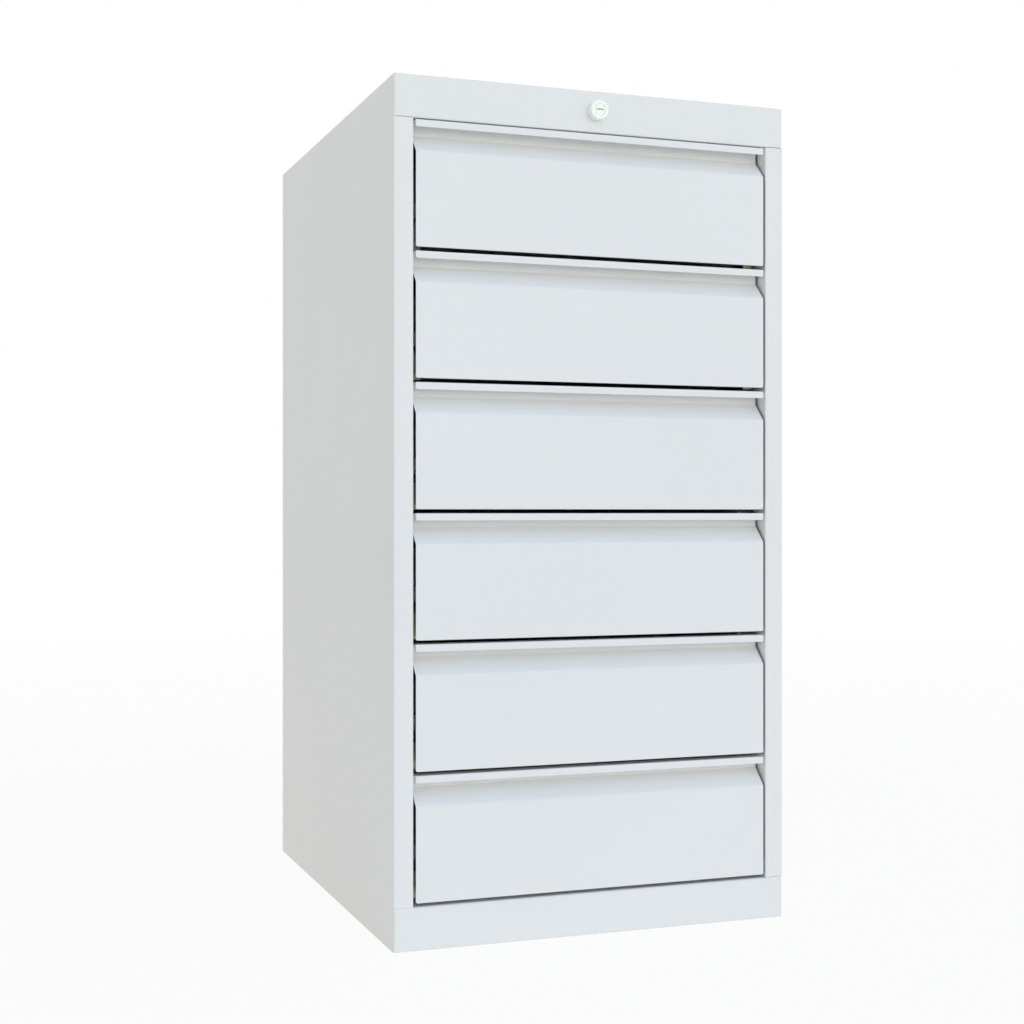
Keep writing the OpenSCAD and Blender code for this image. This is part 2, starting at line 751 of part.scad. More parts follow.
side_panel(-1);  // side_panel_left
side_panel(1);  // side_panel_right
back_panel();
top_panel();
base_panel();
slide_post(-1, post_front_y);  // front_post_left
slide_post(1, post_front_y);  // front_post_right
slide_post(-1, body_d - post_back_gap - post_w);  // rear_post_left
slide_post(1, body_d - post_back_gap - post_w);  // rear_post_right
slide_outer(-1);  // slide_outer_left
slide_outer(1);  // slide_outer_right
slide_rivets();
slide_buffers();
lock_barrel();
lock_nut();
bar_guides();
lock_plug();
lock_wafers();
lock_cam();
cam_screw();
transfer_bar();
locking_bar();
locking_fingers();
for (n = [1:drawer_count]) {
    drawer_front(n);
    drawer_tray(n);
    slide_inner(n);
    slide_middle(n);
    ball_cage(n, outer_cage_s, outer_ball_s, outer_ball_z);
    ball_cage(n, inner_cage_s, inner_ball_s, inner_ball_z);
}
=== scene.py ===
import json
import math

import bmesh
import bpy
import numpy as np
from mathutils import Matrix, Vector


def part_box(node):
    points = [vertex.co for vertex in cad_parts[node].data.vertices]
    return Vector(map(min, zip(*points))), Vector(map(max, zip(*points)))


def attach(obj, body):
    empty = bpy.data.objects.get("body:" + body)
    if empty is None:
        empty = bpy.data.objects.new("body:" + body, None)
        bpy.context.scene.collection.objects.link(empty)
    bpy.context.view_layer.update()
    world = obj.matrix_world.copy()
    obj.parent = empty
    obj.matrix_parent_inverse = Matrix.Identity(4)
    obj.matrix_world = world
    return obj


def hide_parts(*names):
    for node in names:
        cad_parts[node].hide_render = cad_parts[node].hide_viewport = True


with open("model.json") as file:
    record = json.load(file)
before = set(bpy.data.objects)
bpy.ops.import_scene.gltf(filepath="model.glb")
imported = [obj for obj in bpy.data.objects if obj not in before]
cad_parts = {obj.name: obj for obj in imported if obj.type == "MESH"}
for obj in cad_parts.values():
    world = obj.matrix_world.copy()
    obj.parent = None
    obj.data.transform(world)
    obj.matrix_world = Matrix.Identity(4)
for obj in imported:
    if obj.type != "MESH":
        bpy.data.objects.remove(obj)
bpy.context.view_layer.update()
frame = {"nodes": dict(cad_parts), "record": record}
print("cabinet frame loaded,", len(frame["nodes"]), "nodes")

mm = 0.001
tiny = 1e-6  # places this close are taken as one
drawerFronts = [name for name in frame["nodes"] if name.startswith("drawer_front_")]
slotOf = {row["node"]: row["material_slot"] for row in frame["record"]["subparts"]}
bodies = frame["record"]["behaviour"]["bodies"]
bodyOf = {node: body for body, nodes in bodies.items() for node in nodes}


mesher = {
    "crease": 32, "turnedCrease": 50,  # degrees past which an edge is sharp, on sheets and on turned pieces
    "faceWeight": 100,  # large faces alone decide how light rolls over an edge
    "merge": 0.01 * mm,  # doubles closer than this become one point
}


def gridFaces(rows, columns, wrapRows=False):
    # Quads between neighbouring rows and columns of a grid of points, whose columns close to a ring
    i = np.arange(rows if wrapRows else rows - 1)[:, None]
    j = np.arange(columns)[None, :]
    nextRow, nextColumn = (i + 1) % rows, (j + 1) % columns
    corners = [i * columns + j, i * columns + nextColumn]
    corners += [nextRow * columns + nextColumn, nextRow * columns + j]
    return np.stack(np.broadcast_arrays(*corners), -1).reshape(-1, 4)


def surface(name, points, node, wrapRows=False, crease=mesher["crease"]):
    # A grid of points, closed round its columns. Its rows close too, or its first and last row get a flat
    # face. The volume inside goes as the sum of a . (b x c) over its triangles; where that is negative, all
    # faces turn round.
    rows, columns = points.shape[:2]
    places = points.reshape(-1, 3)
    quads = gridFaces(rows, columns, wrapRows)
    firstRow, lastRow = np.arange(columns), np.arange((rows - 1) * columns, rows * columns)
    ends = [] if wrapRows else [firstRow[::-1], lastRow]
    fans = [np.stack([np.full(columns - 2, ring[0]), ring[1:-1], ring[2:]], 1) for ring in ends]
    triangles = np.vstack([quads[:, :3], quads[:, [0, 2, 3]], *fans])
    a, b, c = np.moveaxis(places[triangles], 1, 0)
    faces = quads.tolist() + [ring.tolist() for ring in ends]
    if (a * np.cross(b, c)).sum() < 0:
        faces = [face[::-1] for face in faces]
    mesh = bpy.data.meshes.new(name)
    mesh.from_pydata(places.tolist(), [], faces)
    return dress(name, mesh, node, crease)


def dress(name, mesh, node, crease=mesher["crease"]):
    # Makes a mesh a piece: it stands for the node, rides with the node's body and has the node's finish
    mesh.polygons.foreach_set("use_smooth", np.ones(len(mesh.polygons), bool))
    mesh.set_sharp_from_angle(angle=math.radians(crease))
    mesh.materials.clear()
    mesh.materials.append(finishes[slotOf[node]])
    piece = bpy.data.objects.new(name, mesh)
    bpy.context.scene.collection.objects.link(piece)
    weighted = piece.modifiers.new("flat faces stay flat", "WEIGHTED_NORMAL")
    weighted.weight = mesher["faceWeight"]
    weighted.keep_sharp = True
    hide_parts(node)
    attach(piece, bodyOf[node])
    return piece


sheet = {
    "half": 0.5 * mm,  # half of the sheet's thickness
    "arcSteps": 10, "straightSteps": 24,  # steps round a fold, and along a straight stretch
    "shortest": 0.5 * mm,  # a straight stretch below this is one step
    "edgePoints": 4,  # points round a quarter of a cut edge
    "flattest": 0.9,  # an edge's radius is at most this share of half the thickness
}


def foldedLine(corners, radii, straightSteps):
    # The line through the corners with each one rounded to its radius; one that doesn't turn only adds a
    # point. A straight stretch has its points crowded at both ends, as (1 - cos) / 2 of an even count.
    corners = np.asarray(corners, float)
    along = np.diff(corners, axis=0)
    along /= np.linalg.norm(along, axis=1)[:, None]
    crossed = along[:-1, 0] * along[1:, 1] - along[:-1, 1] * along[1:, 0]
    turns = np.arctan2(crossed, (along[:-1] * along[1:]).sum(1))
    cut = np.array(radii) * np.tan(abs(turns) / 2)
    starts = np.vstack([corners[0], corners[1:-1] + along[1:] * cut[:, None]])
    ends = np.vstack([corners[1:-1] - along[:-1] * cut[:, None], corners[-1]])
    line, normals = [], []
    for k, direction in enumerate(along):
        left = np.array([-direction[1], direction[0]])
        steps = straightSteps if np.linalg.norm(ends[k] - starts[k]) > sheet["shortest"] else 1
        share = (1 - np.cos(np.linspace(0, np.pi, steps + 1))) / 2
        fresh = 0 if k == 0 or abs(turns[k - 1]) > tiny else 1
        line.append(starts[k] + (ends[k] - starts[k]) * share[fresh:, None])
        normals.append(np.tile(left, (len(share) - fresh, 1)))
        if k < len(turns) and abs(turns[k]) > tiny:
            angles = turns[k] * np.linspace(0, 1, sheet["arcSteps"] + 1)[1:-1, None]
            turned = left * np.cos(angles) + np.array([-left[1], left[0]]) * np.sin(angles)
            line.append(ends[k] + np.sign(turns[k]) * radii[k] * (left - turned))
            normals.append(turned)
    return np.vstack(line), np.vstack(normals)


def foldedSheet(corners, radii, extent, axes, edge, straightSteps=sheet["straightSteps"]):
    # A sheet carried along its folded middle line. Each station's section is a rectangle, from the extent's
    # low to its high across the sheet and half the thickness to each side, its corners rounded by the edge
    # radius. Beyond both ends it shrinks by edge * (1 - cos) while it moves on by edge * sin, so cut ends are
    # round too.
    corners = np.array(corners, float)
    outward = np.stack([corners[0] - corners[1], corners[-1] - corners[-2]])
    outward /= np.linalg.norm(outward, axis=1)[:, None]
    corners[[0, -1]] -= outward * edge
    line, normals = foldedLine(corners, radii, straightSteps)
    low, high = (np.broadcast_to(side, len(line)) for side in extent(line[:, 0], line[:, 1]))
    quarterTurn = np.linspace(0, np.pi / 2, sheet["edgePoints"])
    a = quarterTurn[1:]
    row = np.concatenate([np.zeros(len(a), int), np.arange(len(line)), np.full(len(a), len(line) - 1)])
    shrink = edge * np.concatenate([1 - np.cos(a[::-1]), np.zeros(len(line)), 1 - np.cos(a)])
    before, after = outward[0] * np.sin(a[::-1])[:, None], outward[1] * np.sin(a)[:, None]
    push = np.vstack([before, np.zeros_like(line), after])
    half = sheet["half"] - shrink
    corner = np.minimum(edge, half * sheet["flattest"])[:, None]
    quarter = np.repeat(np.arange(4), len(quarterTurn))
    b = quarter * np.pi / 2 + np.tile(quarterTurn, 4)
    lowSide, highSide = (low[row] + shrink)[:, None] + corner, (high[row] - shrink)[:, None] - corner
    across = np.where(np.isin(quarter, (0, 3)), highSide, lowSide) + corner * np.cos(b)
    out = np.where(quarter < 2, 1, -1) * (half[:, None] - corner) + corner * np.sin(b)
    inPlane = (line[row] + edge * push)[:, None, :] + normals[row][:, None, :] * out[..., None]
    return np.concatenate([inPlane, across[..., None]], -1)[..., list(axes)]


acrossX, acrossY, acrossZ = (2, 0, 1), (0, 2, 1), (0, 1, 2)  # the axis that a sheet's width lies along


def shaderNodes(name):
    material = bpy.data.materials.new(name)
    material.use_nodes = True
    nodes, links = material.node_tree.nodes, material.node_tree.links
    return material, nodes, links, nodes["Principled BSDF"]


def objectPlace(nodes):
    return nodes.new("ShaderNodeTexCoord").outputs["Object"]


def noise(nodes, links, place, scale, detail=2, roughness=0.5, squeeze=(1, 1, 1)):
    # Noise with about scale lumps to the metre; an axis squeezed by less than 1 draws them out along it
    mapping = nodes.new("ShaderNodeMapping")
    mapping.inputs["Scale"].default_value = squeeze
    texture = nodes.new("ShaderNodeTexNoise")
    texture.inputs["Scale"].default_value = scale
    texture.inputs["Detail"].default_value = detail
    texture.inputs["Roughness"].default_value = roughness
    links.new(place, mapping.inputs["Vector"])
    links.new(mapping.outputs["Vector"], texture.inputs["Vector"])
    return texture.outputs["Fac"]


def ramp(nodes, links, value, stops):
    # The stops' colours at their places along the value, blended between them
    band = nodes.new("ShaderNodeValToRGB")
    elements = band.color_ramp.elements
    while len(elements) < len(stops):
        elements.new(0.5)
    for element, (position, colour) in zip(elements, stops):
        element.position = position
        element.color = (*colour, 1)
    links.new(value, band.inputs["Fac"])
    return band.outputs["Color"]


def spread(nodes, links, value, fromLow, fromHigh, toLow, toHigh):
    # A straight line from toLow at fromLow to toHigh at fromHigh, level beyond both
    part = nodes.new("ShaderNodeMapRange")
    limits = {"From Min": fromLow, "From Max": fromHigh, "To Min": toLow, "To Max": toHigh}
    for socket, number in limits.items():
        part.inputs[socket].default_value = number
    links.new(value, part.inputs["Value"])
    return part.outputs["Result"]


def gloss(nodes, links, grain, shader, limits):
    # Roughness runs between its limits over a noise's middle half
    links.new(spread(nodes, links, grain, 0.25, 0.75, *limits), shader.inputs["Roughness"])


def relief(nodes, links, heights, shader):
    # Bump nodes in a chain, each a height with its strength and its depth in metres
    last = None
    for height, strength, depth in heights:
        bump = nodes.new("ShaderNodeBump")
        bump.inputs["Strength"].default_value = strength
        bump.inputs["Distance"].default_value = depth
        links.new(height, bump.inputs["Height"])
        if last:
            links.new(last, bump.inputs["Normal"])
        last = bump.outputs["Normal"]
    links.new(last, shader.inputs["Normal"])


def shade(colour, factor):
    # Each channel times the factor, 1 at most
    return tuple(min(1, c * factor) for c in colour)


bandLow, bandHigh = 0.3, 0.7  # where a noise's two tones stand on a ramp

powderCoat = {
    "colour": (0.845, 0.855, 0.850),
    "cloudScale": 3.0, "cloud": 0.012,  # slow drift of the coat's tone
    "speckScale": 900.0, "speck": 0.010,
    "peelScale": 420.0, "peelDepth": 0.06 * mm,  # orange peel, about 2 mm from crest to crest
    "grainScale": 2600.0, "grainDepth": 0.01 * mm,
    "reliefStrength": 0.5, "roughness": (0.36, 0.46),
}


def makePowderCoat(name, tint=1.0):
    # Colour is slow clouds times fine specks; relief is orange peel with a finer grain over it
    material, nodes, links, shader = shaderNodes(name)
    place = objectPlace(nodes)
    colour, drift = shade(powderCoat["colour"], tint), powderCoat["cloud"]
    cloud = noise(nodes, links, place, powderCoat["cloudScale"], detail=3)
    speck = noise(nodes, links, place, powderCoat["speckScale"], detail=1)
    tones = [(bandLow, shade(colour, 1 - drift)), (bandHigh, shade(colour, 1 + drift))]
    specks = [(bandLow, (1 - powderCoat["speck"],) * 3), (bandHigh, (1.0,) * 3)]
    mix = nodes.new("ShaderNodeMix")
    mix.data_type, mix.blend_type = "RGBA", "MULTIPLY"
    mix.inputs["Factor"].default_value = 1
    links.new(ramp(nodes, links, cloud, tones), mix.inputs["A"])
    links.new(ramp(nodes, links, speck, specks), mix.inputs["B"])
    links.new(mix.outputs["Result"], shader.inputs["Base Color"])
    peel = noise(nodes, links, place, powderCoat["peelScale"], detail=1)
    grain = noise(nodes, links, place, powderCoat["grainScale"], detail=0)
    gloss(nodes, links, peel, shader, powderCoat["roughness"])
    strength = powderCoat["reliefStrength"]
    heights = [(peel, strength, powderCoat["peelDepth"]), (grain, strength, powderCoat["grainDepth"])]
    relief(nodes, links, heights, shader)
    return material


yellowZinc = {
    "tones": [(0.32, (0.42, 0.45, 0.30)), (0.50, (0.60, 0.60, 0.38)), (0.68, (0.56, 0.52, 0.40))],
    "bloomScale": 45.0, "bloomSqueeze": (1, 0.3, 1),  # clouds drawn out along the slides
    "rollScale": 700.0, "rollSqueeze": (1, 0.02, 1), "rollStrength": 0.4, "rollDepth": 0.02 * mm,
    "roughness": (0.30, 0.46),
}


def makeYellowZinc(name):
    # Three tones in clouds, and fine rolling lines along the slides in gloss and relief
    material, nodes, links, shader = shaderNodes(name)
    place, zinc = objectPlace(nodes), yellowZinc
    bloom = noise(nodes, links, place, zinc["bloomScale"], 4, 0.6, zinc["bloomSqueeze"])
    links.new(ramp(nodes, links, bloom, zinc["tones"]), shader.inputs["Base Color"])
    roll = noise(nodes, links, place, zinc["rollScale"], 2, squeeze=zinc["rollSqueeze"])
    gloss(nodes, links, roll, shader, zinc["roughness"])
    shader.inputs["Metallic"].default_value = 1
    relief(nodes, links, [(roll, zinc["rollStrength"], zinc["rollDepth"])], shader)
    return material


metals = {
    "brightZinc": {"tones": [(0.55, 0.56, 0.58), (0.66, 0.67, 0.68)], "grainScale": 900,
                   "roughness": (0.28, 0.42), "depth": 0.02 * mm, "metallic": 1.0},
    # nickel's cyan tint is a painted reflection of the cool light on the lock's face; the bare metal is a
    # warmer white
    "nickel": {"tones": [(0.92, 0.98, 0.96), (0.95, 1.0, 0.98)], "grainScale": 1500,
               "roughness": (0.16, 0.24), "depth": 0.005 * mm, "metallic": 0.6},
    # brass tones are raised close to white: painted light that makes up for the shade deep in the keyway
    "brass": {"tones": [(0.94, 0.95, 0.68), (0.98, 0.99, 0.74)], "grainScale": 1500,
              "roughness": (0.25, 0.4), "depth": 0.02 * mm, "metallic": 0.5},
    "cloudShare": 1 / 8, "strength": 0.3,  # clouds are eight times as wide as the grain
}


def makeMetal(name, metal):
    # Bare or plated metal: two close tones in clouds, and a fine grain in its gloss
    material, nodes, links, shader = shaderNodes(name)
    place = objectPlace(nodes)
    cloud = noise(nodes, links, place, metal["grainScale"] * metals["cloudShare"], detail=3)
    tones = list(zip((bandLow, bandHigh), metal["tones"]))
    links.new(ramp(nodes, links, cloud, tones), shader.inputs["Base Color"])
    grain = noise(nodes, links, place, metal["grainScale"], detail=2)
    gloss(nodes, links, grain, shader, metal["roughness"])
    shader.inputs["Metallic"].default_value = metal["metallic"]
    relief(nodes, links, [(grain, metals["strength"], metal["depth"])], shader)
    return material


moulded = {
    "rubber": {"colour": (0.02, 0.02, 0.02), "pebbleScale": 1500, "roughness": (0.7, 0.85)},
    "nylon": {"colour": (0.03, 0.031, 0.034), "pebbleScale": 1200, "roughness": (0.45, 0.6)},
    "lighter": 1.25, "strength": 0.5, "depth": 0.02 * mm,
}


def makeMoulded(name, kind):
    # Rubber and moulded plastic: one dark tone with a fine pebbled grain
    material, nodes, links, shader = shaderNodes(name)
    pebble = noise(nodes, links, objectPlace(nodes), kind["pebbleScale"], detail=2)
    tones = [(bandLow, kind["colour"]), (bandHigh, shade(kind["colour"], moulded["lighter"]))]
    links.new(ramp(nodes, links, pebble, tones), shader.inputs["Base Color"])
    gloss(nodes, links, pebble, shader, kind["roughness"])
    relief(nodes, links, [(pebble, moulded["strength"], moulded["depth"])], shader)
    return material


finishes = {
    "case_paint": makePowderCoat("case powder coat"),
    "front_paint": makePowderCoat("drawer front powder coat"),
    # the inside coat is 3 % darker than the outer one: painted shade for the shaded inside of the case
    "inside_paint": makePowderCoat("inside powder coat", tint=0.97),
    "yellow_zinc": makeYellowZinc("yellow zinc"),
    "bright_zinc": makeMetal("bright zinc", metals["brightZinc"]),
    "nickel": makeMetal("satin nickel", metals["nickel"]),
    "brass": makeMetal("pale stamped brass", metals["brass"]),
    "rubber": makeMoulded("black rubber", moulded["rubber"]),
    "dark_plastic": makeMoulded("dark nylon", moulded["nylon"]),
}
for nodeName, nodeObject in frame["nodes"].items():
    nodeObject.data.materials.clear()
    nodeObject.data.materials.append(finishes[slotOf[nodeName]])
print("finishes made")

caseLow, caseHigh = (np.array(corner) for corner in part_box("top_panel"))
frontY, backY, halfX, topZ = caseLow[1], caseHigh[1], caseHigh[0], caseHigh[2]
fasciaZ, plinthZ = caseLow[2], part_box("base_panel")[1][2]

case = {
    "edge": 0.06 * mm, "step": 0.02 * mm,  # rounding of a cut edge; length over which a sheet's width changes
    "bandRadius": 3.5 * mm,  # upright folds of the two bands, on their outside
    "stileFold": 1.0 * mm, "topFold": 1.0 * mm, "plinthFold": 3.0 * mm, "flangeFold": 1.5 * mm,  # mid-sheet
    "stileWidth": 23.5 * mm, "stileDepth": 36 * mm, "stileHem": 15 * mm,
    "flange": 20 * mm, "flangeRise": 3 * mm,  # a flange's depth, and how far its fold goes up the band
    "clear": 1 * mm,  # between a flange's end or fold and the sheet beside it
    "seam": 0.4 * mm, "lap": 15 * mm,  # gap between the sides and the bands; depth of the top's laps
    "skinFoot": 0.5 * mm, "skinFoldPoints": 10,  # how far the skin goes down the sides, past its fold
    "floorPast": 0.2 * mm, "floorInside": 1.2 * mm,  # past the stiles' edge, and inside the sides' face
    "bore": (9.2 * mm, 8.2 * mm),  # the lock's hole: its radius, and its flats from the middle
    "boreDrop": 24 * mm, "boreDepth": 3 * mm, "boreSteps": 64, "cornerSteps": 8,
}
lockX, lockZ = 0.0, topZ - case["boreDrop"]


def stretch(a, b):
    # The two points that step a sheet's width at a on the way to b
    a, b = np.array(a, float), np.array(b, float)
    return [tuple(a), tuple(a + (b - a) / np.linalg.norm(b - a) * case["step"])]


def makeSidePanels():
    # Stile hem, stile return, stile, side and back flange in one sheet, seen from above; only the side's own
    # stretch runs past the bands, from the floor to the lower edge of the top's skin.
    half, radius, fold = sheet["half"], case["bandRadius"], case["stileFold"]
    side, inner, flangeEnd = -halfX + half, -halfX + case["stileWidth"] - half, -halfX + case["flange"]
    deep, hemEnd = frontY + case["stileDepth"] - half, inner - case["stileHem"] + 2 * half
    first, last = (side, frontY + radius), (side, backY - radius)
    corners = [(hemEnd, deep), (inner, deep), (inner, frontY + half), (side, frontY + half)]
    corners += stretch(first, last) + stretch(last, (side, backY))
    corners += [(side, backY - half), (flangeEnd, backY - half)]
    radii = [fold, fold, fold, 0, 0, 0, 0, radius - half]

    def extent(x, y):
        tall = (abs(x - side) < tiny) & (y > first[1] + tiny) & (y < last[1] + tiny)
        low = np.where(tall, 0, plinthZ + case["seam"])
        return low, np.where(tall, topZ - case["topFold"] - 2 * half, fasciaZ - case["seam"])

    panel = foldedSheet(corners, radii, extent, acrossZ, case["edge"])
    footEnds = (frontY + case["flange"] + case["clear"], backY - case["flange"] - case["clear"])
    footLine = [(side + half, half), (flangeEnd, half)]
    foot = foldedSheet(footLine, [], lambda x, z: footEnds, acrossY, case["edge"])
    for node, flip in (("side_panel_left", 1), ("side_panel_right", -1)):
        surface(node + "_sheet", panel * (flip, 1, 1), node)
        surface(node + "_foot", foot * (flip, 1, 1), node)


def planCorner(x, y, firstAngle):
    # Centre and outward angle of each column round one upright corner
    angles = np.radians(firstAngle + np.linspace(0, 90, case["cornerSteps"] + 1))
    return np.stack([np.full_like(angles, x), np.full_like(angles, y), angles], 1)


def makeTopPanel():
    # The top and its bands as one skin. Columns go round the case: centre + outward normal * (radius -
    # inset). Rows go down the inside, round the lower edge and up the outside, with inset = fold * (1 - cos)
    # and height = foldStart + fold * sin over the fold, and the flat top closes them.
    half, step, radius = sheet["half"], case["step"], case["bandRadius"]
    thick, fold = 2 * half, case["topFold"] + half
    x, y0, y1 = halfX - radius, frontY + radius, backY - radius
    frontFoot, sideFoot = fasciaZ + case["flangeRise"], topZ - fold - case["skinFoot"]
    groups = [((-x, y0 + step, math.pi), sideFoot), (planCorner(-x, y0, 180), fasciaZ)]
    groups += [((-x + step, y0, 1.5 * math.pi), frontFoot), ((x - step, y0, 1.5 * math.pi), frontFoot)]
    groups += [(planCorner(x, y0, 270), fasciaZ), ((x, y0 + step, 0), sideFoot)]
    groups += [((x, y1 - step, 0), sideFoot), (planCorner(x, y1, 0), fasciaZ)]
    groups += [(planCorner(-x, y1, 90), fasciaZ), ((-x, y1 - step, math.pi), sideFoot)]
    columns = np.vstack([np.atleast_2d(place) for place, foot in groups])
    foot = np.concatenate([np.full(len(np.atleast_2d(place)), low) for place, low in groups])
    b = np.linspace(0, np.pi / 2, case["skinFoldPoints"])
    innerInset, outerInset = fold - (fold - thick) * np.cos(b[::-1]), fold * (1 - np.cos(b))
    innerRise, outerRise = (fold - thick) * np.sin(b[::-1]), fold * np.sin(b)
    inset = np.concatenate([innerInset, [thick, 0], outerInset])
    height = np.concatenate([topZ - fold + innerRise, [0, 0], topZ - fold + outerRise])
    height = np.where((height == 0)[:, None], foot, height[:, None])
    reach = (radius - inset)[:, None]
    centreX, centreY, facing = columns.T
    skin = [centreX + reach * np.cos(facing), centreY + reach * np.sin(facing), height]
    cutBore(surface("top_panel_skin", np.stack(skin, -1), "top_panel"))
    plane, behind = frontY + half, frontY + case["flange"]
    flangeLine = [(behind, fasciaZ + half), (plane, fasciaZ + half), (plane, frontFoot)]
    flangeEnds = (step - x, x - step)
    flange = foldedSheet(flangeLine, [case["flangeFold"]], lambda y, z: flangeEnds, acrossX, case["edge"])
    surface("top_panel_flange", flange, "top_panel")
    lapX = -halfX + 1.5 * thick
    lapLine = [(lapX, topZ - case["lap"]), (lapX, topZ - fold)]
    lapEnds = (behind + case["clear"], backY - case["flange"])
    lap = foldedSheet(lapLine, [], lambda x, z: lapEnds, acrossY, case["edge"])
    for name, flip in (("left", 1), ("right", -1)):
        surface("top_panel_lap_" + name, lap * (flip, 1, 1), "top_panel")


def cutBore(skin):
    # The lock's hole, a circle cut off at two flats: radius = min(round, flat / |sin|)
    (roundRadius, flat), deep, steps = case["bore"], case["boreDepth"], case["boreSteps"]
    angle = np.linspace(0, 2 * np.pi, steps + 1)[:-1]
    reach = np.minimum(roundRadius, flat / np.maximum(abs(np.sin(angle)), tiny))
    ring = np.stack([lockX + reach * np.cos(angle), np.zeros(steps), lockZ + reach * np.sin(angle)], 1)
    rings = np.stack([ring + (0, frontY - deep, 0), ring + (0, frontY + deep, 0)])
    ends = [list(range(steps)), list(range(steps, 2 * steps))[::-1]]
    mesh = bpy.data.meshes.new("bore cutter")
    mesh.from_pydata(rings.reshape(-1, 3).tolist(), [], gridFaces(2, steps)[:, ::-1].tolist() + ends)
    cutter = bpy.data.objects.new("bore cutter", mesh)
    bpy.context.scene.collection.objects.link(cutter)
    cut = skin.modifiers.new("bore", "BOOLEAN")
    cut.object, cut.operation, cut.solver = cutter, "DIFFERENCE", "EXACT"
    skin.modifiers.move(1, 0)
    skin.modifiers[1].show_viewport = False
    cutMesh = bpy.data.meshes.new_from_object(skin.evaluated_get(bpy.context.evaluated_depsgraph_get()))
    skin.modifiers[1].show_viewport = True
    skin.modifiers.remove(cut)
    skin.data = cutMesh
    cutMesh.set_sharp_from_angle(angle=math.radians(mesher["crease"]))
    bpy.data.objects.remove(cutter)


def makeBand(name, edgeY, inward, opening):
    # A band of the base in plan, and the foot flange folded from it. Between its corners the band stands on
    # the flange's fold, and within the opening it ends under the floor's fold.
    half, radius, step = sheet["half"], case["bandRadius"], case["step"]
    halfBand, footTop = halfX - radius, case["flangeRise"]
    foldFoot = plinthZ - case["plinthFold"] - case["clear"]
    plane, ending, side = edgeY + inward * half, edgeY + inward * radius, halfX - half
    marks = [-halfBand + step, -opening] if opening < halfBand - step else [-halfBand + step]
    marks = [(x, plane) for x in marks] + [(-x, plane) for x in marks[::-1]]
    steppedMarks = [point for mark in marks for point in stretch(mark, (halfX, plane))]
    corners = [(-side, ending), (-side, plane), *steppedMarks, (side, plane), (side, ending)]
    radii = [radius - half] + [0] * len(steppedMarks) + [radius - half]

    def extent(x, y):
        overFoot = (x > -halfBand + 1.5 * step) & (x < halfBand - 0.5 * step)
        underFloor = (x > -opening + 0.5 * step) & (x < opening + 0.5 * step)
        return np.where(overFoot, footTop, 0), np.where(underFloor, foldFoot, plinthZ)

    surface("base_panel_" + name, foldedSheet(corners, radii, extent, acrossZ, case["edge"]), "base_panel")
    footLine = [(edgeY + inward * case["flange"], half), (plane, half), (plane, footTop)]
    footEnds = (-halfBand + 2 * step, halfBand - step)
    foot = foldedSheet(footLine, [case["flangeFold"]], lambda y, z: footEnds, acrossX, case["edge"])
    surface("base_panel_foot_" + name, foot, "base_panel")


def makeBasePanel():
    # A front and a back band, and between them the floor, folded down at both. The floor is as wide as the
    # opening between the stiles, then as the inside of the case, then as the back band.
    half, radius, step, fold = sheet["half"], case["bandRadius"], case["step"], case["plinthFold"]
    halfOpen, halfInside = halfX - case["stileWidth"] + case["floorPast"], halfX - case["floorInside"]
    halfBand, foldFoot, floorZ = halfX - radius, plinthZ - fold - case["clear"], plinthZ - half
    makeBand("front", frontY, 1, halfOpen)
    makeBand("back", backY, -1, halfBand - step)
    front, back = frontY + half, backY - half
    behind, before = (frontY + case["stileDepth"], floorZ), (backY - radius, floorZ)
    corners = [(front, foldFoot), (front, floorZ)] + stretch(behind, before)
    corners += stretch(before, (backY, floorZ)) + [(back, floorZ), (back, foldFoot)]

    def extent(y, z):
        zones = [y < behind[0] + 0.5 * step, y < before[0] + 0.5 * step]
        wide = np.select(zones, [halfOpen - step, halfInside], halfBand - 2 * step)
        return -wide, wide

    floor = foldedSheet(corners, [fold, 0, 0, 0, 0, fold], extent, acrossX, case["edge"])
    surface("base_panel_floor", floor, "base_panel")


makeSidePanels()
makeTopPanel()
makeBasePanel()
print("case folded")


drawerFront = {
    "edge": 0.3 * mm, "straightSteps": 40,
    "cornerRadius": 2 * mm, "lipRadius": 2 * mm,  # lower corners of the face and of the lip
    "hem": 5 * mm, "hemRoom": 1.4 * mm,  # how high the hem stands, and how far it lies behind the face
    "gripDepth": 20 * mm, "gripHeight": 36 * mm,  # down to the bevel's foot on the sheet's rear side
    "lip": 8.4 * mm, "lipMargin": 1 * mm,  # what is no further than this below the lip's edge is lip
    "folds": [0.65 * mm, 0.65 * mm, 4 * mm, 2 * mm, 1 * mm, 1 * mm],  # at mid-sheet, from the hem to the lip
}


def shortfall(past, radius):
    # How far a rounded corner's outline draws in, this far past its start: r - sqrt(r * r - past * past)
    return radius - np.sqrt(radius ** 2 - past ** 2)


